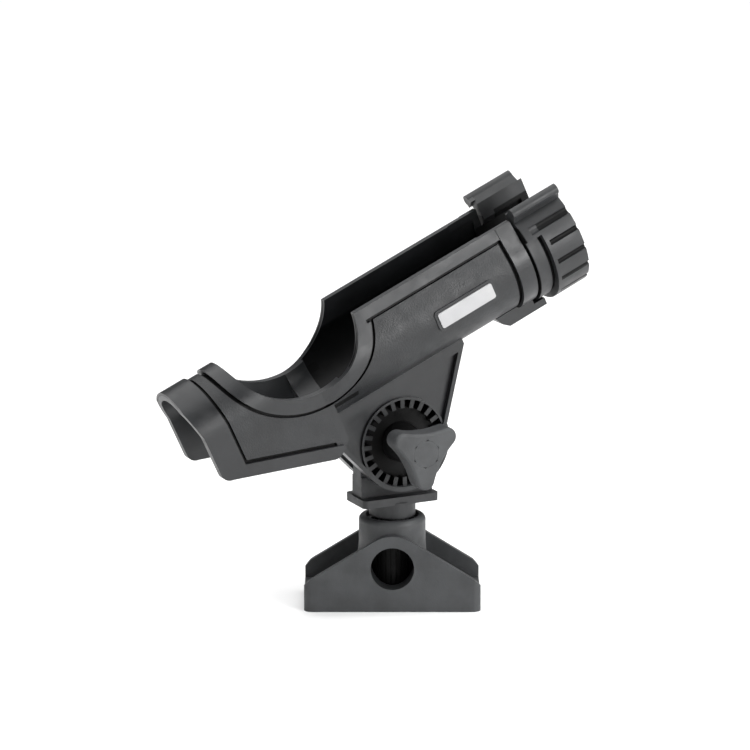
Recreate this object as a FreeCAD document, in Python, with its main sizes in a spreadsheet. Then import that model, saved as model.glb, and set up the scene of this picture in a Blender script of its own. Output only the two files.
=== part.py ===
"""Rod holder for a boat: a trough with a rear hood and a turning lock collar, on a ratchet
pivot, a swivel post and a screw-down mount.  Units are millimetres and degrees.

Frames.  The row frame has its origin at the middle of the mount's underside, under the post,
with +Z up, the mount's long side along X and its pierced wall on the -Y side.
The bracket frame turns with the post.  The holder frame has its origin on the pivot bolt's
axis: +X runs along the trough towards the collar, +Y across it along the bolt and +Z up
out of the trough's open top.
"""
import FreeCAD
import Part
import math
import os
import Sketcher

from FreeCAD import Placement, Rotation, Vector

DRIVING = {
    # how the holder stands at rest
    "yaw_angle": 26.0,
    "pitch_angle": 24.5,
    "pivot_height": 88.7,
    # screw-down mount
    "mount_long": 92.0,
    "mount_deep": 42.0,
    "mount_wall": 3.5,
    "mount_floor": 5.0,
    "mount_corner": 4.0,
    "shoulder_height": 15.6,
    "gable_arc": 17.4,
    "cross_height": 23.2,
    "cross_bore": 11.3,
    "socket_bore": 11.0,
    "socket_top": 47.3,
    "socket_outer": 17.5,
    "socket_foot": 20.2,
    "socket_round": 2.6,
    "socket_lip": 14.0,
    "socket_lip_deep": 3.0,
    "boss_outer": 14.6,
    "end_wall_height": 7.5,
    "screw_hole": 2.75,
    "screw_span_long": 72.0,
    "screw_span_deep": 22.0,
    "screw_boss": 6.2,
    "screw_boss_height": 7.5,
    # swivel bracket
    "spline_count": 24.0,
    "spline_depth": 0.7,
    "post_tip": 10.7,
    "post_bottom": 8.5,
    "disc_outer": 12.2,
    "disc_bottom": 47.7,
    "plate_long": 43.4,
    "plate_deep": 23.0,
    "plate_bottom": 54.9,
    "plate_top": 59.1,
    "tongue_half": 5.5,
    "tongue_face": 4.6,
    "tongue_radius": 20.5,
    "tongue_flange": 3.5,
    "tongue_flange_top": 70.0,
    # ratchet and fork
    "ratchet_count": 24.0,
    "ratchet_inner": 11.5,
    "ratchet_outer": 18.5,
    "fork_half": 5.8,
    "fork_cut": 6.7,
    "slot_radius": 24.0,
    "slot_top": 10.5,
    "bolt_bore": 4.3,
    "face_top": 28.7,
    "fin_front_x": 51.4,
    "fin_face": 12.2,
    "fin_rim": 15.2,
    "fin_rim_wide": 2.4,
    "fin_radius": 25.6,
    "fin_back_x": -32.3,
    "fin_back_z": 14.0,
    "recess_radius": 23.0,
    "recess_floor": 8.4,
    "recess_ring": 1.2,
    "recess_lip": 14.0,
    "tooth_long": 5.2,
    "tooth_wide": 2.3,
    "tooth_top": 13.4,
    # trough
    "tube_level": 54.7,
    "tube_radius": 25.6,
    "tube_inner": 22.9,
    "tube_lean": 19.0,
    "rim_level": 79.0,
    "band_proud": 1.0,
    "rim_band_low": 73.5,
    "groove_wide": 1.9,
    "groove_deep": 1.5,
    "floor_back": -33.0,
    "waist_half": 24.3,
    "flange_back": 89.5,
    "flange_front": 98.6,
    "flange_radius": 27.0,
    "spigot_radius": 23.0,
    "spigot_inner": 19.9,
    "spigot_front": 123.0,
    "spigot_slot": 15.0,
    "catch_half": 8.0,
    "catch_low": 22.6,
    "catch_front": 105.4,
    # hood
    "hood_back": -101.3,
    "hood_back_low": -98.7,
    "hood_band_front": -84.8,
    "hood_level": 62.2,
    "hood_radius": 22.8,
    "hood_inner": 19.8,
    "hood_proud": 1.5,
    "scoop_x": -30.0,
    "scoop_low": 53.0,
    "scoop_rear_radius": 41.0,
    "scoop_front_radius": 32.0,
    "heel_x": -94.0,
    "heel_z": 36.9,
    "foot_x": -41.8,
    "foot_z": 17.4,
    "lip_wide": 7.5,
    "skirt_wide": 6.7,
    # lock collar
    "collar_back": 99.8,
    "collar_step": 108.9,
    "collar_front": 128.4,
    "collar_bore": 23.35,
    "collar_neck": 28.0,
    "collar_groove": 26.6,
    "collar_groove_wide": 1.8,
    "collar_outer": 31.2,
    "collar_slot": 15.5,
    "collar_lip_bore": 19.0,
    "collar_lip_back": 124.0,
    "pad_end": 67.0,
    "pad_flute": 59.0,
    "pad_flute_radius": 2.6,
    "flute_start": 78.0,
    "flute_pitch": 21.0,
    "flute_radius": 1.5,
    "ear_tip": 22.8,
    "ear_level": 82.6,
    "ear_bead": 2.8,
    "ear_overhang": 2.0,
    "ear_trim": 2.0,
    "ear_raise": 0.8,
    # clamp knob, bolt and badge
    "washer_outer": 9.2,
    "washer_thick": 1.5,
    "stem_root": 10.6,
    "stem_neck": 9.2,
    "stem_back": 10.0,
    "lobe_back": 28.0,
    "lobe_front": 39.5,
    "lobe_centre": 14.5,
    "lobe_round": 5.0,
    "lobe_hollow": 43.6,
    "lobe_edge": 1.6,
    "lobe_waist": 10.4,
    "knob_turn": 6.0,
    "nut_flats": 13.0,
    "nut_back": 29.4,
    "nut_front": 35.0,
    "cap_radius": 7.0,
    "bolt_shank": 4.0,
    "bolt_tip": 35.6,
    "head_thick": 5.0,
    "badge_long": 33.5,
    "badge_high": 8.4,
    "badge_x": 56.7,
    "badge_level": 53.5,
    "badge_thick": 0.7,
    "badge_seat_face": 26.2,
    "badge_margin": 1.6,
}

CLEAR = 60.0  # reach of a cutting tool past the solid that it cuts
GAP = 0.05  # between a washer and what it bears on

doc = FreeCAD.newDocument("rod_holder")
sheet = doc.addObject("Spreadsheet::Sheet", "dims")
for row, (alias, number) in enumerate(DRIVING.items(), start=1):
    sheet.set(f"A{row}", alias)
    sheet.set(f"B{row}", str(number))
    sheet.setAlias(f"B{row}", alias)
doc.recompute()


class Size:
    """A length or angle as the text of a FreeCAD expression, with its present value."""

    def __init__(self, text, value):
        self.text = text
        self.value = value

    def _join(self, sign, other, value):
        return Size(f"({self.text} {sign} {size(other).text})", value)

    def __add__(self, other):
        return self._join("+", other, self.value + size(other).value)

    def __sub__(self, other):
        return self._join("-", other, self.value - size(other).value)

    def __mul__(self, other):
        return self._join("*", other, self.value * size(other).value)

    def __truediv__(self, other):
        return self._join("/", other, self.value / size(other).value)

    def __neg__(self):
        return Size(f"(0 - {self.text})", -self.value)

    def __rmul__(self, other):
        return size(other) * self

    def __radd__(self, other):
        return size(other) + self

    def __rsub__(self, other):
        return size(other) - self


def size(x):
    """A plain number as a Size; a Size as it is."""
    return x if isinstance(x, Size) else Size(repr(float(x)), float(x))


D = {alias: Size(f"dims.{alias}", float(sheet.get(alias))) for alias in DRIVING}


def bind(obj, **expressions):
    """Binds properties to expressions; a double underscore stands for the dot of a sub-property."""
    for prop, what in expressions.items():
        obj.setExpression(prop.replace("__", "."), size(what).text)
    return obj


def turned(obj, rotation, x=0, y=0, z=0):
    obj.Placement = Placement(Vector(), rotation)
    return bind(obj, Placement__Base__x=x, Placement__Base__y=y, Placement__Base__z=z)


def box(name, x, y, z):
    """A box from three (low, high) pairs."""
    obj = doc.addObject("Part::Box", name)
    bind(obj, Length=x[1] - size(x[0]), Width=y[1] - size(y[0]), Height=z[1] - size(z[0]))
    return turned(obj, Rotation(), x[0], y[0], z[0])


ALONG_X = Rotation(Vector(0, 1, 0), 90)
ALONG_Y = Rotation(Vector(1, 0, 0), -90)
ALONG_Z = Rotation()


def rod(name, radius, length, rotation=ALONG_Z, x=0, y=0, z=0):
    """A cylinder that starts at x, y, z and runs along the axis its rotation names."""
    obj = doc.addObject("Part::Cylinder", name)
    bind(obj, Radius=radius, Height=length)
    return turned(obj, rotation, x, y, z)


def cone(name, low, high, height, rotation=ALONG_Z, x=0, y=0, z=0):
    obj = doc.addObject("Part::Cone", name)
    bind(obj, Radius1=low, Radius2=high, Height=height)
    return turned(obj, rotation, x, y, z)


def sine(angle):
    return Size(f"sin({size(angle).text})", math.sin(math.radians(size(angle).value)))


def cosine(angle):
    return Size(f"cos({size(angle).text})", math.cos(math.radians(size(angle).value)))


def swung_box(name, x, y, z, angle, level=0):
    """A box turned about the Y axis, clockwise as seen from the near side, then lifted."""
    obj = box(name, x, y, z)
    obj.Placement = Placement(Vector(), Rotation(Vector(0, 1, 0), size(angle).value))
    along, up = size(x[0]), size(z[0])
    return bind(
        obj,
        Placement__Base__x=along * cosine(angle) + up * sine(angle),
        Placement__Base__y=y[0],
        Placement__Base__z=up * cosine(angle) - along * sine(angle) + level,
    )


def fuse(name, *shapes):
    obj = doc.addObject("Part::MultiFuse", name)
    obj.Shapes = list(shapes)
    return obj


def common(name, *shapes):
    obj = doc.addObject("Part::MultiCommon", name)
    obj.Shapes = list(shapes)
    return obj


def cut(name, base, *tools):
    obj = doc.addObject("Part::Cut", name)
    obj.Base = base
    obj.Tool = tools[0] if len(tools) == 1 else fuse(name + "_tools", *tools)
    return obj


def compound(name, shapes):
    obj = doc.addObject("Part::Compound", name)
    obj.Links = list(shapes)
    return obj


# An outline is a list of corners.  A corner is (x, y), or (x, y, bulge) where the edge that
# leaves it is an arc of that radius: positive turns left along the way, negative right.
def draw(sketch, corners):
    """Draws a closed outline, with every corner and radius bound to its expression."""
    count = len(corners)
    points = [Vector(size(c[0]).value, size(c[1]).value, 0) for c in corners]
    leaves = []
    arrives = []
    for i, corner in enumerate(corners):
        start, end = points[i], points[(i + 1) % count]
        if len(corner) == 2:
            sketch.addGeometry(Part.LineSegment(start, end), False)
            leaves.append(1)
            arrives.append(2)
            continue
        radius = size(corner[2]).value
        half = (end - start) * 0.5
        inward = Vector(-half.y, half.x, 0).normalize()
        rise = math.sqrt(radius * radius - half.Length * half.Length)
        turn = 1 if radius > 0 else -1
        centre = start + half + inward * rise * turn
        middle = centre - inward * turn * abs(radius)
        # an arc is stored anticlockwise, so one that turns right is drawn from its far end
        ends = (start, end) if turn > 0 else (end, start)
        sketch.addGeometry(Part.Arc(ends[0], middle, ends[1]), False)
        leaves.append(1 if turn > 0 else 2)
        arrives.append(2 if turn > 0 else 1)
    for i, corner in enumerate(corners):
        after = (i + 1) % count
        joined = Sketcher.Constraint("Coincident", i, arrives[i], after, leaves[after])
        sketch.addConstraint(joined)
        for kind, value in (("DistanceX", corner[0]), ("DistanceY", corner[1])):
            known = Sketcher.Constraint(kind, -1, 1, i, leaves[i], size(value).value)
            index = sketch.addConstraint(known)
            sketch.setExpression(f"Constraints[{index}]", size(value).text)
        if len(corner) == 3:
            radius = size(corner[2])
            text = radius.text if radius.value > 0 else (-radius).text
            index = sketch.addConstraint(Sketcher.Constraint("Radius", i, abs(radius.value)))
            sketch.setExpression(f"Constraints[{index}]", text)
    return sketch


SIDE_VIEW = Rotation(Vector(1, 0, 0), 90)  # sketch x, y to X, Z; its normal is -Y
CROSS_VIEW = Rotation(Vector(1, 1, 1), 120)  # sketch x, y to Y, Z; its normal is +X
PLAN_VIEW = Rotation()  # sketch x, y to X, Y; its normal is +Z


def prism(name, view, corners, length, symmetric=False, x=0, y=0, z=0):
    """An outline extruded along its view's normal, from x, y, z."""
    sketch = draw(doc.addObject("Sketcher::SketchObject", name + "_outline"), corners)
    turned(sketch, view, x, y, z)
    obj = doc.addObject("Part::Extrusion", name)
    obj.Base = sketch
    obj.DirMode = "Normal"
    obj.Solid = True
    obj.Symmetric = symmetric
    return bind(obj, LengthFwd=length)


def keep(obj, label, placement):
    """Names a finished sub-part and puts it in its place."""
    obj.Label = label
    obj.Placement = placement
    FINISHED.append(obj)


FINISHED = []
SWIVEL = Placement(Vector(), Rotation(Vector(0, 0, 1), D["yaw_angle"].value))
TILT = Placement(
    Vector(0, 0, D["pivot_height"].value), Rotation(Vector(0, 1, 0), -D["pitch_angle"].value)
)
HOLDER = SWIVEL * TILT


# ---------------------------------------------------------------- mount
def mount_base():
    half_long = D["mount_long"] / 2
    half_deep = D["mount_deep"] / 2
    arc = D["gable_arc"]
    lift = math.radians(31)
    tangent_x, tangent_z = arc * math.sin(lift), D["cross_height"] + arc * math.cos(lift)
    gable = prism(
        "gable",
        SIDE_VIEW,
        [
            (-half_long, 0),
            (half_long, 0),
            (half_long, D["shoulder_height"] - 2),
            (half_long - 3, D["shoulder_height"] + 1.3),
            (tangent_x, tangent_z, arc),
            (-tangent_x, tangent_z),
            (3 - half_long, D["shoulder_height"] + 1.3),
            (-half_long, D["shoulder_height"] - 2),
        ],
        D["mount_deep"],
        symmetric=True,
    )
    corner = D["mount_corner"]
    plan = prism(
        "mount_plan",
        PLAN_VIEW,
        [
            (corner - half_long, -half_deep),
            (half_long - corner, -half_deep, corner),
            (half_long, corner - half_deep),
            (half_long, half_deep - corner, corner),
            (half_long - corner, half_deep),
            (corner - half_long, half_deep, corner),
            (-half_long, half_deep - corner),
            (-half_long, corner - half_deep, corner),
        ],
        CLEAR,
    )
    block = common("mount_block", gable, plan)
    inner_long = half_long - D["mount_wall"]
    inner_deep = half_deep - D["mount_wall"]
    channel = box(
        "channel", (-inner_long, inner_long), (-inner_deep, inner_deep), (D["mount_floor"], CLEAR)
    )
    end_trim = box(
        "end_trim", (-CLEAR, CLEAR), (-inner_deep, inner_deep), (D["end_wall_height"], CLEAR)
    )
    walls = cut("mount_walls", block, channel, end_trim)
    top, rounding = D["socket_top"], D["socket_round"]
    foot = cone("socket_foot_cone", D["socket_foot"], D["socket_outer"], D["cross_height"] + 10)
    stem = rod("socket_stem", D["socket_outer"], top)
    rounded = doc.addObject("Part::Fillet", "socket_rounded")
    rounded.Base = stem
    doc.recompute()
    upper = max(
        range(len(stem.Shape.Edges)), key=lambda i: stem.Shape.Edges[i].BoundBox.ZMin
    )
    rounded.Edges = [(upper + 1, rounding.value, rounding.value)]
    side_boss = rod(
        "side_boss", D["boss_outer"], inner_deep + 1, ALONG_Y, 0, -inner_deep - 1, D["cross_height"]
    )
    bosses = []
    holes = []
    half_x, half_y = D["screw_span_long"] / 2, D["screw_span_deep"] / 2
    for i, (sx, sy) in enumerate(((-1, -1), (1, -1), (1, 1), (-1, 1))):
        x, y = half_x * sx, half_y * sy
        bosses.append(rod(f"screw_boss_{i}", D["screw_boss"], D["screw_boss_height"], x=x, y=y))
        holes.append(rod(f"screw_hole_{i}", D["screw_hole"], CLEAR, x=x, y=y, z=-1))
    body = fuse("mount_solid", walls, foot, rounded, side_boss, *bosses)
    bore = rod("socket_bore_tool", D["socket_bore"], CLEAR, z=D["mount_floor"] + 1)
    lip_bore = rod("socket_lip_tool", D["socket_lip"], CLEAR, z=top - D["socket_lip_deep"])
    cross = rod(
        "cross_bore_tool", D["cross_bore"], half_deep + 1, ALONG_Y, 0, -half_deep - 1, D["cross_height"]
    )
    flutes = []
    count = int(D["spline_count"].value)
    for i in range(count):
        angle = 2 * math.pi * i / count
        flutes.append(
            rod(
                f"socket_flute_{i}",
                D["spline_depth"],
                CLEAR,
                x=D["socket_bore"] * math.cos(angle),
                y=D["socket_bore"] * math.sin(angle),
                z=D["mount_floor"] + 4,
            )
        )
    trimmed = cut("mount_bored", body, bore, lip_bore, cross, *holes)
    fluted = cut("mount_fluted", trimmed, compound("socket_flutes", flutes))
    keep(fluted, "mount_base", Placement())


# ---------------------------------------------------------------- swivel bracket
def origin_plane(body, role):
    return next(f for f in body.Origin.OriginFeatures if f.Role == role)


def body_sketch(body, name, role, corners, offset=0):
    """An outline on one of the body's own planes, raised along its normal."""
    sketch = body.newObject("Sketcher::SketchObject", name)
    sketch.AttachmentSupport = [(origin_plane(body, role), "")]
    sketch.MapMode = "FlatFace"
    bind(sketch, AttachmentOffset__Base__z=offset)
    if isinstance(corners, list):
        return draw(sketch, corners)
    sketch.addGeometry(Part.Circle(Vector(), Vector(0, 0, 1), size(corners).value), False)
    sketch.addConstraint(Sketcher.Constraint("Coincident", 0, 3, -1, 1))
    index = sketch.addConstraint(Sketcher.Constraint("Radius", 0, size(corners).value))
    sketch.setExpression(f"Constraints[{index}]", size(corners).text)
    return sketch


def pad(body, name, sketch, length, both_ways=False):
    obj = body.newObject("PartDesign::Pad", name)
    obj.Profile = sketch
    obj.Midplane = both_ways
    bind(obj, Length=length)
    return obj


def pocket(body, name, sketch, length, both_ways=False, reverse=False):
    obj = body.newObject("PartDesign::Pocket", name)
    obj.Profile = sketch
    obj.Midplane = both_ways
    obj.Reversed = reverse
    bind(obj, Length=length)
    return obj


def around(body, name, features, count, role):
    """Repeats features round one of the body's own axes, and makes that its tip."""
    obj = body.newObject("PartDesign::PolarPattern", name)
    obj.Originals = features
    obj.Axis = (origin_plane(body, role), [""])
    obj.Angle = 360
    obj.Occurrences = int(count.value)
    body.Tip = obj
    return obj


def swivel_bracket():
    body = doc.addObject("PartDesign::Body", "bracket_body")
    post = body_sketch(body, "post_round", "XY_Plane", D["post_tip"], D["post_bottom"])
    pad(body, "post", post, D["plate_bottom"] - D["post_bottom"])
    half = D["spline_depth"]
    tip = D["post_tip"]
    groove = body_sketch(
        body,
        "spline_gap",
        "XY_Plane",
        [(tip - half, -half / 2), (tip + 1, -half), (tip + 1, half), (tip - half, half / 2)],
        D["post_bottom"],
    )
    gap = pocket(body, "spline_cut", groove, D["disc_bottom"] - D["post_bottom"], reverse=True)
    around(body, "splines", [gap], D["spline_count"], "Z_Axis")
    disc = body_sketch(body, "disc_round", "XY_Plane", D["disc_outer"], D["disc_bottom"])
    pad(body, "disc", disc, D["plate_bottom"] - D["disc_bottom"] + 1)
    long, deep = D["plate_long"] / 2, D["plate_deep"] / 2
    corner = 2.5
    plate = body_sketch(
        body,
        "plate_outline",
        "XY_Plane",
        [
            (corner - long, -deep),
            (long - corner, -deep, corner),
            (long, corner - deep),
            (long, deep - corner, corner),
            (long - corner, deep),
            (corner - long, deep, corner),
            (-long, deep - corner),
            (-long, corner - deep, corner),
        ],
        D["plate_bottom"],
    )
    pad(body, "plate", plate, D["plate_top"] - D["plate_bottom"])
    radius = D["tongue_radius"]
    tongue = body_sketch(
        body,
        "tongue_outline",
        "XZ_Plane",
        [
            (-radius, D["plate_top"] - 1),
            (radius, D["plate_top"] - 1),
            (radius, D["pivot_height"], radius + 0.001),
            (-radius, D["pivot_height"]),
        ],
    )
    pad(body, "tongue", tongue, D["tongue_face"] * 2, both_ways=True)
    eye = rod("tongue_eye", D["bolt_bore"], CLEAR * 2, ALONG_Y, 0, -CLEAR, D["pivot_height"])
    bored = cut("bracket_bored", body, eye)
    teeth = []
    count = int(D["ratchet_count"].value)
    for i in range(count):
        teeth.append(
            swung_box(
                f"tongue_tooth_{i}",
                (D["ratchet_inner"], D["ratchet_outer"]),
                (-D["tongue_half"], D["tongue_half"]),
                (-0.8, 0.8),
                360 * i / count,
                D["pivot_height"],
            )
        )
    flanges = []
    half = D["tongue_half"]
    inset = radius - D["tongue_flange"]
    levels = (D["plate_top"] - 1, D["tongue_flange_top"])
    flanges.append(box("tongue_flange_front", (inset, radius), (-half, half), levels))
    flanges.append(box("tongue_flange_back", (-radius, -inset), (-half, half), levels))
    keep(fuse("bracket", bored, *teeth, *flanges), "swivel_bracket", SWIVEL)


# ---------------------------------------------------------------- trough, hood and fork
def section(name, radius, level, up, back, front, reach, lean=0):
    """A trough (up) or hood (down) section along X: half a circle, its arc carried on by the
    lean angle at both ends, then two straight walls on to the reach."""
    radius, away = size(radius), size(reach) - level
    side, rise = radius * cosine(lean), radius * sine(lean)
    edge = side - (away - rise) * (sine(lean) / cosine(lean))
    if not up:
        corners = [(radius, level, radius + 0.001), (-radius, level), (-radius, reach), (radius, reach)]
        return prism(name, CROSS_VIEW, corners, size(front) - back, x=back)
    corners = [(-radius, level, radius + 0.001), (radius, level), (edge, reach), (-edge, reach)]
    if size(lean).value:
        corners[1] = (radius, level, radius)
        corners.insert(2, (side, rise + level))
        corners.append((-side, rise + level, radius))
    return prism(name, CROSS_VIEW, corners, size(front) - back, x=back)


def side_region(name, corners, reach=CLEAR):
    """A side-view outline as a cutter that spans the whole holder."""
    return prism(name, SIDE_VIEW, corners, reach, symmetric=True)


def scoop_corners(offset, top):
    """The reel opening's outline, drawn larger by an offset all round."""
    low = D["scoop_low"] - offset
    rear, front = D["scoop_rear_radius"] + offset, D["scoop_front_radius"] + offset
    mid = D["scoop_x"]
    rear_level = D["scoop_low"] + D["scoop_rear_radius"]
    front_level = D["scoop_low"] + D["scoop_front_radius"]
    rear_half = rear * 0.999
    return [
        (mid - rear_half, rear_level, rear),
        (mid, low, front),
        (mid + front * 0.999, front_level),
        (mid + front * 0.999, top),
        (mid - rear_half, top),
    ]


def shell(name, grow):
    """The trough, hood and skirt as one block, the trough and the hood grown by their amounts."""
    level, rim = D["tube_level"], D["rim_level"]
    hood_level, hood_back = D["hood_level"], D["hood_back"]
    joint = D["floor_back"] + 4
    trough, hood = D["tube_radius"] + grow[0], D["hood_radius"] + grow[1]
    back, front = D["floor_back"], D["flange_front"]
    along = section(name + "_trough", trough, level, True, back, front, rim, D["tube_lean"])
    arch = section(name + "_arch", hood, hood_level, False, hood_back, joint + 16, level - 4)
    skirt = section(name + "_skirt", hood, hood_level, False, hood_back, joint, -10)
    return fuse(name, along, arch, skirt)


def band_regions():
    """Where the walls stand proud: the rim, the reel opening's lip, the hood's back and the skirt."""
    front, top = D["flange_front"], CLEAR * 2
    rim = side_region(
        "rim_band",
        [(-12, D["rim_band_low"]), (front, D["rim_band_low"]), (front, top), (-12, top)],
    )
    lip = side_region("scoop_band", scoop_corners(D["lip_wide"], top))
    edge, hood_back = D["hood_band_front"], D["hood_back"]
    back = side_region(
        "hood_band",
        [(hood_back - 1, 0), (edge, 0), (edge, 64), (edge - 2.2, 90), (hood_back - 1, 90)],
    )
    strip = D["skirt_wide"] * 1.067
    skirt = side_region(
        "skirt_band",
        [
            (D["heel_x"], D["heel_z"] - 6),
            (D["foot_x"] + 8.8, D["foot_z"] - 9),
            (D["foot_x"] + 8.8, D["foot_z"] + strip - 3.3),
            (D["heel_x"], D["heel_z"] + strip),
        ],
    )
    return fuse("band_regions", rim, lip, back, skirt)


def groove_regions():
    """The moulded lines along the inner edge of every band."""
    wide = D["groove_wide"]
    low, flange = D["rim_band_low"], D["flange_back"]
    rim = side_region(
        "rim_groove", [(5, low - wide), (flange, low - wide), (flange, low), (5, low)]
    )
    front = side_region(
        "flange_groove", [(flange - wide, 20), (flange, 20), (flange, low), (flange - wide, low)]
    )
    around_lip = cut(
        "lip_groove_ring",
        side_region("lip_groove_outer", scoop_corners(D["lip_wide"] + wide, CLEAR * 2)),
        side_region("lip_groove_inner", scoop_corners(D["lip_wide"], CLEAR * 2 + 1), CLEAR + 2),
    )
    above_rim = side_region(
        "above_rim_line", [(-12, low), (CLEAR, low), (CLEAR, CLEAR * 3), (-12, CLEAR * 3)], CLEAR + 2
    )
    lip = cut("lip_groove", around_lip, above_rim)
    edge = D["hood_band_front"]
    strip = D["skirt_wide"] * 1.067
    slope = (D["foot_z"] - D["heel_z"]) / (D["foot_x"] - D["heel_x"])
    start = D["heel_z"] + strip + slope * (edge - D["heel_x"])
    back = side_region(
        "hood_groove",
        [
            (edge, start),
            (edge + wide, start),
            (edge + wide, 64),
            (edge + wide - 2.2, 90),
            (edge - 2.2, 90),
            (edge, 64),
        ],
    )
    end = D["foot_x"] + 5.6
    finish = D["heel_z"] + strip + slope * (end - D["heel_x"])
    skirt = side_region(
        "skirt_groove",
        [(edge, start), (end, finish), (end, finish + wide), (edge, start + wide)],
    )
    return [rim, front, lip, back, skirt]


def holder_body():
    level, radius, inner = D["tube_level"], D["tube_radius"], D["tube_inner"]
    rim, proud, lean = D["rim_level"], D["band_proud"], D["tube_lean"]
    hood_level, hood_back = D["hood_level"], D["hood_back"]
    joint = D["floor_back"] + 4
    heel_x, heel_z = D["heel_x"], D["heel_z"]
    foot_x, foot_z = D["foot_x"], D["foot_z"]
    plain = shell("plain_walls", (0, 0))
    raised = shell("raised_walls", (proud, D["hood_proud"]))
    core = shell("groove_floor", (-D["groove_deep"], -D["groove_deep"]))
    ribs = common("raised_bands", raised, band_regions())
    low_back = D["hood_back_low"]
    outside = side_region(
        "side_outline",
        [
            (low_back, heel_z + 5.2, 5.4),
            (heel_x, heel_z),
            (foot_x, foot_z, 6),
            (foot_x + 6.4, foot_z + 0.7),
            (joint, foot_z + 5),
            (joint, level - radius - proud - 1),
            (CLEAR * 3, level - radius - proud - 1),
            (CLEAR * 3, CLEAR * 2),
            (hood_back, CLEAR * 2),
            (hood_back, 78),
            (low_back, 64),
        ],
    )
    waist = D["waist_half"]
    wide = D["flange_radius"] + 1
    plan = prism(
        "waist_plan",
        PLAN_VIEW,
        [
            (hood_back - 1, -waist),
            (D["floor_back"], -waist),
            (-6, -wide),
            (CLEAR * 3, -wide),
            (CLEAR * 3, wide),
            (-6, wide),
            (D["floor_back"], waist),
            (hood_back - 1, waist),
        ],
        CLEAR * 3,
    )
    walls = fuse("walls", plain, ribs)
    grooves = cut("groove_tools", compound("groove_strips", groove_regions()), core)
    trimmed = cut("walls_grooved", common("walls_trimmed", walls, outside, plan), grooves)
    flange = section(
        "front_flange",
        D["flange_radius"],
        level,
        True,
        D["flange_back"],
        D["flange_front"],
        rim,
        lean,
    )
    # hollow
    hollow = section(
        "trough_hollow", inner, level, True, -21, D["flange_front"] - 4, rim + 20, lean
    )
    hood_inner = D["hood_inner"]
    rear = section("rear_hollow", hood_inner, level, True, joint - 12, -20, CLEAR * 2)
    mouth = section("mouth_hollow", D["spigot_inner"], level, True, 80, CLEAR * 3, rim + 20, 8)
    arch = section("hood_hollow", hood_inner, hood_level, False, hood_back - 5, D["floor_back"], -20)
    arch_front = section(
        "arch_hollow", hood_inner, hood_level, False, hood_back - 5, joint + 40, level
    )
    scoop = side_region("reel_opening", scoop_corners(0, CLEAR * 3))
    # spigot under the collar, open above like the trough
    tube = rod(
        "spigot_tube",
        D["spigot_radius"],
        D["spigot_front"] - D["flange_back"] - 2,
        ALONG_X,
        D["flange_back"] + 2,
        0,
        level,
    )
    opening = box(
        "spigot_opening",
        (D["flange_back"], CLEAR * 3),
        (-D["spigot_slot"], D["spigot_slot"]),
        (level, CLEAR * 2),
    )
    spigot = cut("spigot", tube, opening)
    low, under = D["catch_low"], level - D["collar_neck"] - 0.4
    catch = prism(
        "collar_catch",
        SIDE_VIEW,
        [
            (75.5, level - radius + 1),
            (78, low + 3),
            (81.5, low),
            (D["catch_front"], low),
            (D["catch_front"], under),
            (D["flange_front"], under),
            (D["flange_front"], level - radius + 1),
        ],
        D["catch_half"] * 2,
        symmetric=True,
    )
    fork = fork_plates()
    seat = badge_seat()
    solid = fuse("holder_solid", trimmed, flange, spigot, catch, fork, seat)
    holder = cut("holder", solid, scoop, hollow, rear, mouth, arch, arch_front)
    keep(holder, "holder_body", HOLDER)


def rounded_corners(x, level, half_long, half_high, corner):
    """A rectangle with round corners in the side view."""
    return [
        (x - half_long + corner, level - half_high),
        (x + half_long - corner, level - half_high, corner),
        (x + half_long, level - half_high + corner),
        (x + half_long, level + half_high - corner, corner),
        (x + half_long - corner, level + half_high),
        (x - half_long + corner, level + half_high, corner),
        (x - half_long, level + half_high - corner),
        (x - half_long, level - half_high + corner, corner),
    ]


def badge_seat():
    margin, face = D["badge_margin"], D["badge_seat_face"]
    half_long, half_high = D["badge_long"] / 2 + margin, D["badge_high"] / 2 + margin
    outline = rounded_corners(D["badge_x"], D["badge_level"], half_long, half_high, 2.5)
    return prism("badge_seat", SIDE_VIEW, outline, face - D["tube_inner"] + 1, y=1 - D["tube_inner"])


def fork_corners(inset):
    """The fork's side outline, drawn smaller by an inset."""
    radius = D["fin_radius"] - inset
    under = D["tube_level"] - D["tube_radius"]
    front, back = D["fin_front_x"] - inset * 1.2, D["fin_back_x"] + inset
    return [
        (-radius * cosine(17), -radius * sine(17), radius),
        (radius * cosine(6), -radius * sine(6)),
        (front, under + 2),
        (front, under + 8),
        (back, under + 8),
        (back, D["fin_back_z"]),
    ]


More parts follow.
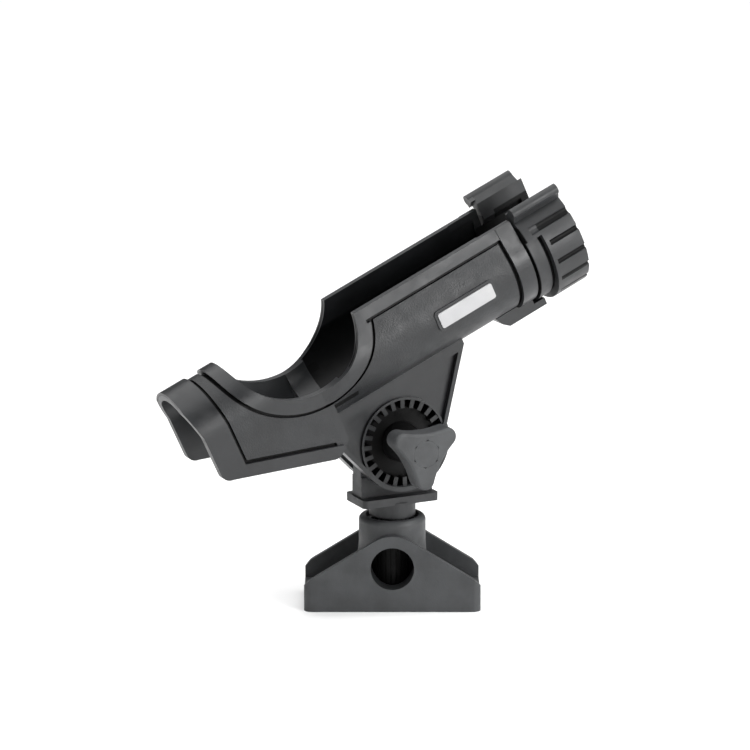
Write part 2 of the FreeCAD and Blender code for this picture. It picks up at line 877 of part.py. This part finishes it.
def fork_plates():
    rim, face = D["fin_rim"], D["fin_face"]
    block = side_region("fork_block", fork_corners(0), rim * 2)
    web = side_region("fork_web", fork_corners(D["fin_rim_wide"]), CLEAR)
    sides = []
    dishes = []
    lips = []
    for name, sign in (("near", -1), ("far", 1)):
        low, high = (face, CLEAR) if sign > 0 else (-CLEAR, -face)
        side = box(f"{name}_face", (-CLEAR, CLEAR), (low, high), (-CLEAR, D["face_top"]))
        sides.append(common(f"{name}_face_recess", web, side))
        floor = D["recess_floor"]
        start = floor if sign > 0 else -floor - 20
        dishes.append(rod(f"{name}_dish", D["recess_radius"], 20, ALONG_Y, 0, start, 0))
        lip = D["recess_lip"]
        start = face - 1 if sign > 0 else -lip
        ring = D["recess_radius"] + D["recess_ring"]
        lips.append(rod(f"{name}_dish_lip", ring, lip - face + 1, ALONG_Y, 0, start, 0))
    gap = D["fork_cut"]
    slot_round = rod("fork_slot_round", D["slot_radius"], gap * 2, ALONG_Y, 0, -gap, 0)
    slot_low = box("fork_slot_low", (-CLEAR, CLEAR), (-gap, gap), (-CLEAR, D["slot_top"]))
    eye = rod("fork_eye", D["bolt_bore"], CLEAR * 2, ALONG_Y, 0, -CLEAR, 0)
    sunk = fuse("fork_lipped", cut("fork_sunk", block, *sides), *lips)
    plates = cut("fork_cut_out", sunk, slot_round, slot_low, eye, *dishes)
    teeth = []
    count = int(D["ratchet_count"].value)
    root = D["recess_radius"] + 0.6
    for i in range(count):
        for name, sign in (("near", -1), ("far", 1)):
            low, high = D["recess_floor"] - 0.4, D["tooth_top"]
            if sign < 0:
                low, high = -D["tooth_top"], 0.4 - D["recess_floor"]
            teeth.append(
                swung_box(
                    f"dish_tooth_{name}_{i}",
                    (root - D["tooth_long"], root),
                    (low, high),
                    (-D["tooth_wide"] / 2, D["tooth_wide"] / 2),
                    360 * (i + 0.5) / count,
                )
            )
            low, high = D["fork_half"], gap + 0.4
            if sign < 0:
                low, high = -gap - 0.4, -D["fork_half"]
            teeth.append(
                swung_box(
                    f"fork_ridge_{name}_{i}",
                    (D["ratchet_inner"], D["ratchet_outer"]),
                    (low, high),
                    (-0.8, 0.8),
                    360 * (i + 0.5) / count,
                )
            )
    return fuse("fork", plates, *teeth)


# ---------------------------------------------------------------- lock collar
def polar(radius, angle, level):
    """A corner in the cross view: angle in degrees from the top, towards +Y."""
    return (radius * sine(angle), level + radius * cosine(angle))


def lock_ring():
    level = D["tube_level"]
    back, step, front = D["collar_back"], D["collar_step"], D["collar_front"]
    groove = D["collar_groove"]
    neck_long = step - D["collar_groove_wide"] - back
    neck = rod("collar_neck_ring", D["collar_neck"], neck_long, ALONG_X, back, 0, level)
    core = rod("collar_core_ring", groove, front - back, ALONG_X, back, 0, level)
    grip = rod("collar_grip_ring", D["collar_outer"], front - step, ALONG_X, step, 0, level)
    outer = D["collar_outer"]
    pads = []
    ears = []
    for name, sign in (("near", -1), ("far", 1)):
        corners = [
            polar(D["collar_bore"] + 1, sign * D["pad_end"], level),
            polar(outer * 1.12, sign * D["pad_end"], level),
            polar(outer * 1.12, sign * 20, level),
            polar(D["collar_bore"] + 1, sign * 20, level),
        ]
        sector = prism(f"{name}_pad_sector", CROSS_VIEW, corners, front - back, x=back)
        disc = rod(f"{name}_pad_round", outer, front - back, ALONG_X, back, 0, level)
        pads.append(common(f"{name}_pad", sector, disc))
        tip, top, slot = D["ear_tip"], D["ear_level"], D["collar_slot"] - 0.2
        start, trim = back, 0
        if sign > 0:
            start, trim, top = back - D["ear_overhang"], D["ear_trim"], top + D["ear_raise"]
            # this part passes outside the trough's rim when the collar turns
            outer_part = [
                (tip - 0.2, top - 4.2),
                (tip + 1.6, top - 1.6),
                (tip - 1.6, top + 1.6),
                (tip - 5.4, top + 0.2),
            ]
            ears.append(prism("far_ear_back", CROSS_VIEW, outer_part, D["ear_overhang"] + 1, x=start))
        ears.append(
            prism(
                f"{name}_ear",
                CROSS_VIEW,
                [
                    (sign * slot, level + 20),
                    (sign * (slot + 5), level + 20),
                    (sign * (tip + 1.6), top - 1.6),
                    (sign * (tip - 1.6), top + 1.6),
                    (sign * slot, level + 26),
                ],
                front - back - trim,
                x=back,
            )
        )
        ears.append(
            rod(
                f"{name}_ear_bead", D["ear_bead"], front - start - trim, ALONG_X, start, sign * tip, top
            )
        )
    ring = fuse("collar_solid", neck, core, grip, *pads, *ears)
    deep = D["collar_lip_back"] - back + 1
    bore = rod("collar_bore_tool", D["collar_bore"], deep, ALONG_X, back - 1, 0, level)
    mouth = rod("collar_mouth_tool", D["collar_lip_bore"], CLEAR, ALONG_X, back, 0, level)
    slot = box(
        "collar_slot_tool",
        (back - 1, CLEAR * 3),
        (-D["collar_slot"], D["collar_slot"]),
        (level, CLEAR * 3),
    )
    flutes = []
    for name, sign in (("near", -1), ("far", 1)):
        centre = polar(outer + 1.2, sign * D["pad_flute"], level)
        flutes.append(
            rod(f"{name}_pad_flute", D["pad_flute_radius"], CLEAR, ALONG_X, back + 4.5, *centre)
        )
        for i in range(4):
            angle = D["flute_start"] + D["flute_pitch"] * i
            centre = polar(outer + 0.3, sign * angle, level)
            flutes.append(
                rod(f"{name}_flute_{i}", D["flute_radius"], CLEAR, ALONG_X, step + 2, *centre)
            )
    cuts = compound("collar_flutes", flutes)
    keep(cut("collar", cut("collar_hollow", ring, bore, mouth, slot), cuts), "lock_ring", HOLDER)


# ---------------------------------------------------------------- bolt, washers, knob, badge
def hexagon(flats):
    """Corners of a hexagon by its width across flats, flats facing up and down."""
    reach = flats / math.sqrt(3)
    half, tall = reach / 2, flats / 2
    return [(-half, -tall), (half, -tall), (reach, 0), (half, tall), (-half, tall), (-reach, 0)]


def pivot_bolt():
    seat = D["recess_floor"] + GAP + D["washer_thick"] + GAP
    shank = rod(
        "bolt_shank_rod", D["bolt_shank"], D["bolt_tip"] + seat + 1, ALONG_Y, 0, -D["bolt_tip"], 0
    )
    thick = D["head_thick"]
    head = prism("bolt_hex", SIDE_VIEW, hexagon(D["nut_flats"]), thick, y=seat + thick)
    keep(fuse("bolt", shank, head), "pivot_bolt", HOLDER)


def washer(label, start):
    disc = rod(f"{label}_disc", D["washer_outer"], D["washer_thick"], ALONG_Y, 0, start, 0)
    hole = rod(f"{label}_hole", D["bolt_shank"] + 0.35, CLEAR, ALONG_Y, 0, start - 5, 0)
    keep(cut(f"{label}_plain", disc, hole), label, HOLDER)


def lobe_corners():
    """Three round tips joined by shallow hollows, anticlockwise in the side view."""
    corners = []
    reach, tip = D["lobe_centre"], D["lobe_round"]
    for i in range(3):
        middle = D["knob_turn"] + 120 * i
        for side, bend in ((-75, tip), (75, -D["lobe_hollow"])):
            x = reach * cosine(middle) + tip * cosine(middle + side)
            y = reach * sine(middle) + tip * sine(middle + side)
            corners.append((x, y, bend))
    return corners


def clamp_knob():
    start, back, front = D["stem_back"], D["lobe_back"], D["lobe_front"]
    long = back - start - 4
    root = cone("stem_cone", D["stem_neck"], D["stem_root"], long, ALONG_Y, 0, 4 - back, 0)
    flare = cone("stem_flare", D["lobe_waist"], D["stem_neck"], 4, ALONG_Y, 0, -back, 0)
    lobes = prism("knob_lobes", SIDE_VIEW, lobe_corners(), front - back, y=-back)
    doc.recompute()
    edges = lobes.Shape.Edges
    flat = [i for i, e in enumerate(edges) if e.BoundBox.YLength < 0.01]
    rounded = doc.addObject("Part::Fillet", "knob_rounded")
    rounded.Base = lobes
    edge = D["lobe_edge"].value
    rounded.Edges = [(i + 1, edge, edge) for i in flat]
    solid = fuse("knob_solid", root, flare, rounded)
    bore = rod("knob_bore", D["bolt_shank"] + 0.4, CLEAR * 2, ALONG_Y, 0, -CLEAR, 0)
    nut = prism("nut_pocket", SIDE_VIEW, hexagon(D["nut_flats"] + 0.1), CLEAR, y=-D["nut_back"])
    cap = rod("cap_pocket", D["cap_radius"] + GAP, 20, ALONG_Y, 0, -D["nut_front"] - 20 - GAP, 0)
    keep(cut("knob", solid, bore, nut, cap), "clamp_knob", HOLDER)


def knob_nut():
    thick = D["nut_front"] - D["nut_back"] - GAP
    body = prism("nut_hex", SIDE_VIEW, hexagon(D["nut_flats"]), thick, y=-D["nut_back"] - GAP)
    bore = rod("nut_bore", D["bolt_shank"] + GAP, CLEAR * 2, ALONG_Y, 0, -CLEAR, 0)
    keep(cut("nut", body, bore), "knob_nut", HOLDER)


def knob_cap():
    start = D["nut_front"] + GAP * 2
    face = D["lobe_front"]
    cover = rod("cap_disc", D["cap_radius"], face - start, ALONG_Y, 0, -face, 0)
    deep = D["bolt_tip"] - start + 0.6
    well = rod("cap_well", D["bolt_shank"] + 0.6, deep, ALONG_Y, 0, -D["bolt_tip"] - 0.6, 0)
    keep(cut("cap", cover, well), "knob_cap", HOLDER)


def badge():
    half_long, half_high = D["badge_long"] / 2, D["badge_high"] / 2
    outline = rounded_corners(D["badge_x"], D["badge_level"], half_long, half_high, 1.2)
    face = D["badge_seat_face"] + GAP
    keep(prism("badge_plate", SIDE_VIEW, outline, D["badge_thick"], y=-face), "badge", HOLDER)


def build():
    mount_base()
    swivel_bracket()
    holder_body()
    lock_ring()
    pivot_bolt()
    washer("bolt_washer", D["recess_floor"] + GAP)
    washer("knob_washer", -D["recess_floor"] - GAP - D["washer_thick"])
    clamp_knob()
    knob_nut()
    knob_cap()
    badge()


def write():
    doc.recompute()
    for obj in doc.Objects:
        if "Invalid" in obj.State or "Error" in obj.State:
            raise RuntimeError(f"{obj.Name} failed: {obj.State}")
    os.makedirs("parts", exist_ok=True)
    for obj in FINISHED:
        shape = obj.Shape
        if shape.isNull() or not shape.isValid():
            raise RuntimeError(f"{obj.Label} has no valid shape")
        shape.exportStep(f"parts/{obj.Label}.step")
        print(obj.Label, len(shape.Solids), round(shape.Volume))


build()
write()
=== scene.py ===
import math

import bpy
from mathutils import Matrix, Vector

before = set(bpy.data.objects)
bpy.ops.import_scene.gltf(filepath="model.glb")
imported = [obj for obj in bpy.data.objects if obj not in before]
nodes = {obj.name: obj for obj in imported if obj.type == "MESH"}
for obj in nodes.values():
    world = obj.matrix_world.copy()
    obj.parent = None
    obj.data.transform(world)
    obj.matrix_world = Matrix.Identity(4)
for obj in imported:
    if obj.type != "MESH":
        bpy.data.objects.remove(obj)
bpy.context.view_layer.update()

MM = 0.001

# The holder's own axes at rest: along the trough, across it, and up from the pivot.
YAW = math.radians(26)
PITCH = math.radians(24.5)
PIVOT = (0.0, 0.0, 88.7 * MM)

# Sizes in the holder's axes, in millimetres. A pair is where a soft edge starts and ends.
TROUGH_AXIS = 54.7
TROUGH_LEAN = math.radians(19)
TROUGH_PANEL = (25.2, 26.0)
TROUGH_LINE = (23.7, 25.2)
TROUGH_LINE_UP = (20.0, 78.4)
TROUGH_LINE_ALONG = (-14.0, 92.0)
TROUGH_FLOOR = (22.9, 23.4)
TROUGH_REAR = -20.0
HOOD_AXIS = 62.2
HOOD_PANEL = (22.4, 23.2)
HOOD_FRONT = -33.0
HOOD_LINE = (20.7, 22.4)
HOOD_LINE_ALONG = (-97.0, -14.0)
SCOOP_CENTRE = (-30.0, 94.0)
SCOOP_LINE = (42.5, 43.5)
SKIRT_SLOPE = 0.3736
SKIRT_LEVEL = 1.8
SKIRT_LINE = (2.5, 3.5)
DISH_EDGE = (22.4, 23.2)
DISH_FACE = (12.2, 14.0)
FLUTE_REACH = (30.5, 30.9)
FLUTE_ALONG = (109.2, 128.2)
COLLAR_GROOVE_REACH = (27.3, 27.8)
COLLAR_GROOVE_ALONG = (107.2, 109.2)
COLLAR_BACK = (99.9, 100.4)
EAR_FOOT = (74.0, 75.0)
KNOB_STEM = (-29.0, -25.0)

# Sizes in the mount's axes, in metres.
SOCKET_WALL = (0.0115, 0.0122)
SIDE_HOLE_LEVEL = 0.0232
SIDE_HOLE_WALL = (0.0112, 0.0114)
SIDE_HOLE_FACE = (-0.0205, -0.0195)
POST_TOP = (0.0455, 0.0475)


# ------------------------------------------------------------ node helpers
class Graph:
    """A material's node tree, with one call per kind of node."""

    def __init__(self, name):
        self.material = bpy.data.materials.new(name)
        self.material.use_nodes = True
        self.tree = self.material.node_tree
        self.shader = self.tree.nodes["Principled BSDF"]

    def add(self, kind, **settings):
        node = self.tree.nodes.new(kind)
        for key, value in settings.items():
            setattr(node, key, value)
        return node

    def feed(self, socket, value):
        if isinstance(value, bpy.types.NodeSocket):
            self.tree.links.new(value, socket)
        else:
            socket.default_value = value

    def math(self, operation, a, b=0.0):
        node = self.add("ShaderNodeMath", operation=operation)
        self.feed(node.inputs[0], a)
        self.feed(node.inputs[1], b)
        return node.outputs[0]

    def times(self, a, b):
        return self.math("MULTIPLY", a, b)

    def reach(self, a, b):
        """How far out the point (a, b) lies from an axis."""
        return self.math("SQRT", self.math("ADD", self.math("POWER", a, 2.0), self.math("POWER", b, 2.0)))

    def remap(self, value, low, high, to_low=0.0, to_high=1.0):
        node = self.add("ShaderNodeMapRange", interpolation_type="SMOOTHSTEP")
        for socket, item in zip(node.inputs, (value, low, high, to_low, to_high)):
            self.feed(socket, item)
        return node.outputs[0]

    def above(self, value, edge):
        """0 below a soft edge, 1 above it."""
        return self.remap(value, *edge)

    def below(self, value, edge):
        """1 below a soft edge, 0 above it."""
        return self.remap(value, *edge, 1.0, 0.0)

    def between(self, value, limits, soft=0.15):
        """1 where a value lies between two limits."""
        low, high = limits
        return self.times(
            self.above(value, (low - soft, low + soft)), self.below(value, (high - soft, high + soft))
        )

    def place(self):
        return self.add("ShaderNodeTexCoord").outputs["Object"]

    def split(self, vector):
        node = self.add("ShaderNodeSeparateXYZ")
        self.feed(node.inputs[0], vector)
        return node.outputs

    def noise(self, place, scale, detail=3.0):
        node = self.add("ShaderNodeTexNoise")
        self.feed(node.inputs["Vector"], place)
        node.inputs["Scale"].default_value = scale
        node.inputs["Detail"].default_value = detail
        node.inputs["Roughness"].default_value = 0.55
        return node.outputs["Fac"]

    def cells(self, place, scale):
        node = self.add("ShaderNodeTexVoronoi", feature="SMOOTH_F1")
        self.feed(node.inputs["Vector"], place)
        node.inputs["Scale"].default_value = scale
        node.inputs["Smoothness"].default_value = 0.6
        return node.outputs["Distance"]

    def mix(self, factor, a, b):
        """Two colours mixed; sockets 6 and 7 are the node's colour inputs."""
        node = self.add("ShaderNodeMix", data_type="RGBA")
        self.feed(node.inputs["Factor"], factor)
        self.feed(node.inputs[6], a)
        self.feed(node.inputs[7], b)
        return node.outputs[2]

    def bump(self, height, distance, strength, normal=None):
        node = self.add("ShaderNodeBump")
        node.inputs["Strength"].default_value = strength
        node.inputs["Distance"].default_value = distance
        self.feed(node.inputs["Height"], height)
        if normal is not None:
            self.feed(node.inputs["Normal"], normal)
        return node.outputs[0]


def shade(tone, factor=1.0):
    """A tone made darker or lighter, as an opaque colour."""
    return tuple(c * factor for c in tone) + (1.0,)


# ------------------------------------------------------------ places on the holder
def holder_place(g):
    """Millimetres along the trough, across it and up from the pivot."""
    shift = g.add("ShaderNodeVectorMath", operation="SUBTRACT")
    g.feed(shift.inputs[0], g.place())
    shift.inputs[1].default_value = PIVOT
    yawed = g.add("ShaderNodeVectorRotate", rotation_type="Z_AXIS")
    g.feed(yawed.inputs["Vector"], shift.outputs[0])
    yawed.inputs["Angle"].default_value = -YAW
    pitched = g.add("ShaderNodeVectorRotate", rotation_type="Y_AXIS")
    g.feed(pitched.inputs["Vector"], yawed.outputs[0])
    pitched.inputs["Angle"].default_value = PITCH
    scaled = g.add("ShaderNodeVectorMath", operation="SCALE")
    g.feed(scaled.inputs[0], pitched.outputs[0])
    scaled.inputs["Scale"].default_value = 1 / MM
    return g.split(scaled.outputs[0])


def hood_reach(g, across, up):
    """How far out a point lies from the hood's axis, or from its middle plane below that axis."""
    rise = g.math("MAXIMUM", g.math("SUBTRACT", up, HOOD_AXIS), 0.0)
    return g.reach(across, rise)


def trough_reach(g, across, up):
    """How far out a point lies from the trough's axis, measured square to its leaning walls."""
    side = g.math("ABSOLUTE", across)
    rise = g.math("SUBTRACT", up, TROUGH_AXIS)
    round_part = g.reach(side, rise)
    wall = g.math(
        "ADD", g.times(side, math.cos(TROUGH_LEAN)), g.times(rise, math.sin(TROUGH_LEAN))
    )
    leaning = g.math("GREATER_THAN", rise, g.times(side, math.tan(TROUGH_LEAN)))
    return g.math("ADD", round_part, g.times(leaning, g.math("SUBTRACT", wall, round_part)))


# ------------------------------------------------------------ masks
def panel_mask(g):
    """1 on the holder's sunk side panels, 0 on its raised bands, lips and ring."""
    along, across, up = holder_place(g)
    trough = g.between(trough_reach(g, across, up), TROUGH_PANEL)
    hood = g.between(hood_reach(g, across, up), HOOD_PANEL)
    forward = g.math("GREATER_THAN", along, HOOD_FRONT)
    behind = g.math("SUBTRACT", 1.0, forward)
    return g.math("ADD", g.times(forward, trough), g.times(behind, hood))


def trough_lines(g, along, across, up):
    """1 on the floors of the moulded lines in the trough's sides, where shade is painted."""
    lines = g.between(trough_reach(g, across, up), TROUGH_LINE)
    lines = g.times(lines, g.between(up, TROUGH_LINE_UP))
    return g.times(lines, g.between(along, TROUGH_LINE_ALONG))


def hood_lines(g, along, across, up):
    """1 on the floors of the moulded lines in the hood's sides, outside the reel opening, where shade is
    painted.
    """
    lines = g.between(hood_reach(g, across, up), HOOD_LINE)
    lines = g.times(lines, g.between(along, HOOD_LINE_ALONG))
    centre_along, centre_up = SCOOP_CENTRE
    off = g.math("SUBTRACT", along, centre_along)
    over = g.math("SUBTRACT", up, centre_up)
    lines = g.times(lines, g.above(g.reach(off, over), SCOOP_LINE))
    skirt = g.math("ADD", g.times(along, SKIRT_SLOPE), g.math("SUBTRACT", up, SKIRT_LEVEL))
    return g.times(lines, g.above(skirt, SKIRT_LINE))


def holder_painted_shade(g):
    """Painted shade: 1 in the ratchet dishes round the pivot and in the moulded lines, 0.85 inside the
    trough.
    """
    along, across, up = holder_place(g)
    side = g.math("ABSOLUTE", across)
    dish = g.times(g.below(g.reach(along, up), DISH_EDGE), g.below(side, DISH_FACE))
    rise = g.math("SUBTRACT", up, TROUGH_AXIS)
    inside = g.below(g.reach(side, rise), TROUGH_FLOOR)
    inside = g.times(inside, g.math("GREATER_THAN", along, TROUGH_REAR))
    lines = g.math("MAXIMUM", trough_lines(g, along, across, up), hood_lines(g, along, across, up))
    return g.math("MAXIMUM", g.math("MAXIMUM", dish, g.times(inside, 0.85)), lines)


def collar_painted_shade(g):
    """Painted shade: 1 in the collar's flutes, in the groove behind its grip and at its back, below the
    ears.
    """
    along, across, up = holder_place(g)
    reach = g.reach(across, g.math("SUBTRACT", up, TROUGH_AXIS))
    flutes = g.times(g.below(reach, FLUTE_REACH), g.between(along, FLUTE_ALONG))
    groove = g.times(g.below(reach, COLLAR_GROOVE_REACH), g.between(along, COLLAR_GROOVE_ALONG))
    back = g.below(along, COLLAR_BACK)
    dark = g.math("MAXIMUM", g.math("MAXIMUM", flutes, groove), back)
    return g.times(dark, g.below(up, EAR_FOOT))


def stem_painted_shade(g):
    """Painted shade on the knob's stem: 1 on the stem, fading out towards its lobes."""
    return g.above(holder_place(g)[1], KNOB_STEM)


def bore_painted_shade(g):
    """Painted shade: 1 inside the mount's socket and its side hole."""
    x, y, z = g.split(g.place())
    socket = g.below(g.reach(x, y), SOCKET_WALL)
    drop = g.math("SUBTRACT", z, SIDE_HOLE_LEVEL)
    hole = g.times(g.below(g.reach(x, drop), SIDE_HOLE_WALL), g.above(y, SIDE_HOLE_FACE))
    return g.math("MAXIMUM", socket, hole)


def post_painted_shade(g):
    """Painted shade: 1 on the splined post, which stands in the socket's shadow, 0 on the plate and
    tongue above it.
    """
    return g.below(g.split(g.place())[2], POST_TOP)


# ------------------------------------------------------------ materials
def plastic(name, tone, rough, grain, painted_shade_mask, gloss=0.55, grain_mask=None):
    """Moulded glass-filled nylon: mottled tone, satin gloss that varies, a fine pebble grain, and
    painted shade, near-black and less glossy, where the mask is 1."""
    g = Graph(name)
    place = g.place()
    mottle = g.noise(place, 55.0, 4.0)
    fine = g.noise(place, 900.0, 2.0)
    tint = g.mix(g.remap(mottle, 0.3, 0.7), shade(tone, 0.8), shade(tone, 1.25))
    # Painted shade: where the mask is 1 the colour goes near-black and the specular level drops.
    painted_shade = painted_shade_mask(g)
    tint = g.mix(painted_shade, tint, shade((0.004, 0.004, 0.004)))
    sheen = g.remap(painted_shade, 0.0, 1.0, gloss, 0.12)
    g.feed(g.shader.inputs["Base Color"], tint)
    roughness = g.remap(g.noise(place, 130.0), 0.25, 0.75, rough - 0.06, rough + 0.08)
    pebble = g.cells(place, 1150.0)
    flow = g.noise(place, 28.0, 2.0)
    amount = grain_mask(g) if grain_mask else 1.0
    height = g.math("ADD", g.times(fine, 0.25), g.times(pebble, g.times(amount, grain)))
    roughness = g.math("ADD", roughness, g.times(amount, 0.12))
    g.feed(g.shader.inputs["Roughness"], roughness)
    broad = g.bump(flow, 0.0006, 0.35)
    g.feed(g.shader.inputs["Normal"], g.bump(height, 0.00012, 0.8, broad))
    g.feed(g.shader.inputs["Specular IOR Level"], sheen)
    return g.material


def metal(name, tone):
    """Satin metal, a little uneven in tone and polish."""
    g = Graph(name)
    place = g.place()
    tint = g.mix(g.noise(place, 200.0), shade(tone, 0.85), shade(tone))
    g.feed(g.shader.inputs["Base Color"], tint)
    g.shader.inputs["Metallic"].default_value = 1.0
    g.feed(g.shader.inputs["Roughness"], g.remap(g.noise(place, 400.0), 0.3, 0.7, 0.24, 0.4))
    return g.material


def label(name):
    """Silver paint on a plain plate."""
    g = Graph(name)
    place = g.place()
    tint = g.mix(g.noise(place, 90.0), shade((0.34, 0.34, 0.35)), shade((0.44, 0.44, 0.44)))
    g.feed(g.shader.inputs["Base Color"], tint)
    g.shader.inputs["Metallic"].default_value = 0.35
    g.feed(g.shader.inputs["Roughness"], g.remap(g.noise(place, 300.0), 0.3, 0.7, 0.28, 0.42))
    return g.material


BLACK = (0.0115, 0.0124, 0.0137)
MOUNT_GREY = (0.034, 0.036, 0.038)
KNOB_GREY = (0.038, 0.040, 0.042)
# The fifth argument of each finish is its mask of painted shade.
nylon_holder = plastic("nylon_holder", BLACK, 0.37, 1.0, holder_painted_shade, 0.48, panel_mask)
nylon_mount = plastic("nylon_mount", MOUNT_GREY, 0.42, 0.35, bore_painted_shade)
nylon_bracket = plastic("nylon_bracket", BLACK, 0.40, 0.3, post_painted_shade)
nylon_collar = plastic("nylon_collar", BLACK, 0.36, 0.15, collar_painted_shade)
nylon_knob = plastic("nylon_knob", KNOB_GREY, 0.5, 0.3, stem_painted_shade)
steel = metal("steel_satin", (0.62, 0.63, 0.64))
silver = label("badge_silver_plate")

FINISH = {
    "mount_base": nylon_mount,
    "swivel_bracket": nylon_bracket,
    "holder_body": nylon_holder,
    "lock_ring": nylon_collar,
    "clamp_knob": nylon_knob,
    "knob_cap": nylon_knob,
    "knob_nut": steel,
    "pivot_bolt": steel,
    "bolt_washer": steel,
    "knob_washer": steel,
    "badge": silver,
}
# Width of each node's softened edges, in millimetres.
EDGE = {
    "mount_base": 1.1,
    "swivel_bracket": 0.3,
    "holder_body": 0.5,
    "lock_ring": 0.6,
    "pivot_bolt": 0.4,
    "badge": 0.15,
}
for name, material in FINISH.items():
    node = nodes[name]
    if not node.material_slots:
        node.data.materials.append(material)
    for slot in node.material_slots:
        slot.material = material
for name, width in EDGE.items():
    bevel = nodes[name].modifiers.new("soft_edges", "BEVEL")
    bevel.width = width * MM
    bevel.segments = 3
    bevel.limit_method = "ANGLE"
    bevel.angle_limit = math.radians(32)


# ------------------------------------------------------------ stage
FLOOR_RADIUS = 9
FLOOR_SIDES = 96
turns = [2 * math.pi * i / FLOOR_SIDES for i in range(FLOOR_SIDES)]
rim = [(FLOOR_RADIUS * math.cos(turn), FLOOR_RADIUS * math.sin(turn), 0) for turn in turns]
floor_mesh = bpy.data.meshes.new("floor")
floor_mesh.from_pydata(rim, [], [list(range(FLOOR_SIDES))])
floor = bpy.data.objects.new("floor", floor_mesh)
bpy.context.scene.collection.objects.link(floor)
paper = Graph("white_paper")
paper.shader.inputs["Base Color"].default_value = (0.92, 0.92, 0.92, 1)
paper.shader.inputs["Roughness"].default_value = 0.9
paper.shader.inputs["Specular IOR Level"].default_value = 0.1
floor_mesh.materials.append(paper.material)

world = bpy.data.worlds.new("studio")
bpy.context.scene.world = world
world.use_nodes = True
sky = world.node_tree.nodes["Background"]
sky.inputs["Color"].default_value = (1, 1, 1, 1)
sky.inputs["Strength"].default_value = 0.1


# ------------------------------------------------------------ lights and camera
def softbox(name, place, aim, width, height, power):
    lamp = bpy.data.lights.new(name, "AREA")
    lamp.shape = "RECTANGLE"
    lamp.size = width
    lamp.size_y = height
    lamp.energy = power
    obj = bpy.data.objects.new(name, lamp)
    obj.location = place
    obj.rotation_euler = (Vector(aim) - Vector(place)).to_track_quat("-Z", "Y").to_euler()
    bpy.context.scene.collection.objects.link(obj)


CENTRE = Vector((-9.0, 0, 121.8)) * MM
softbox("overhead", (0.2, 1.3, 3.4), (0.0, 0.9, 0), 6.0, 6.0, 240)
softbox("key_left", (-0.9, -0.8, 1.3), CENTRE, 0.6, 0.6, 11)
softbox("front_right", (1.15, -0.95, 0.55), CENTRE, 0.8, 0.6, 18)
softbox("kicker", (0.75, 0.1, 1.1), CENTRE, 0.4, 0.4, 5)

ELEVATION = math.radians(13.37)
DISTANCE = 1.773
camera = bpy.data.cameras.new("camera")
camera.lens = 164.3
camera.sensor_width = 36
camera.clip_end = 60
eye = bpy.data.objects.new("camera", camera)
eye.location = CENTRE + Vector((0, -math.cos(ELEVATION), math.sin(ELEVATION))) * DISTANCE
eye.rotation_euler = (CENTRE - eye.location).to_track_quat("-Z", "Y").to_euler()
bpy.context.scene.collection.objects.link(eye)
bpy.context.scene.camera = eye
bpy.context.scene.view_settings.view_transform = "Standard"

bpy.context.view_layer.update()
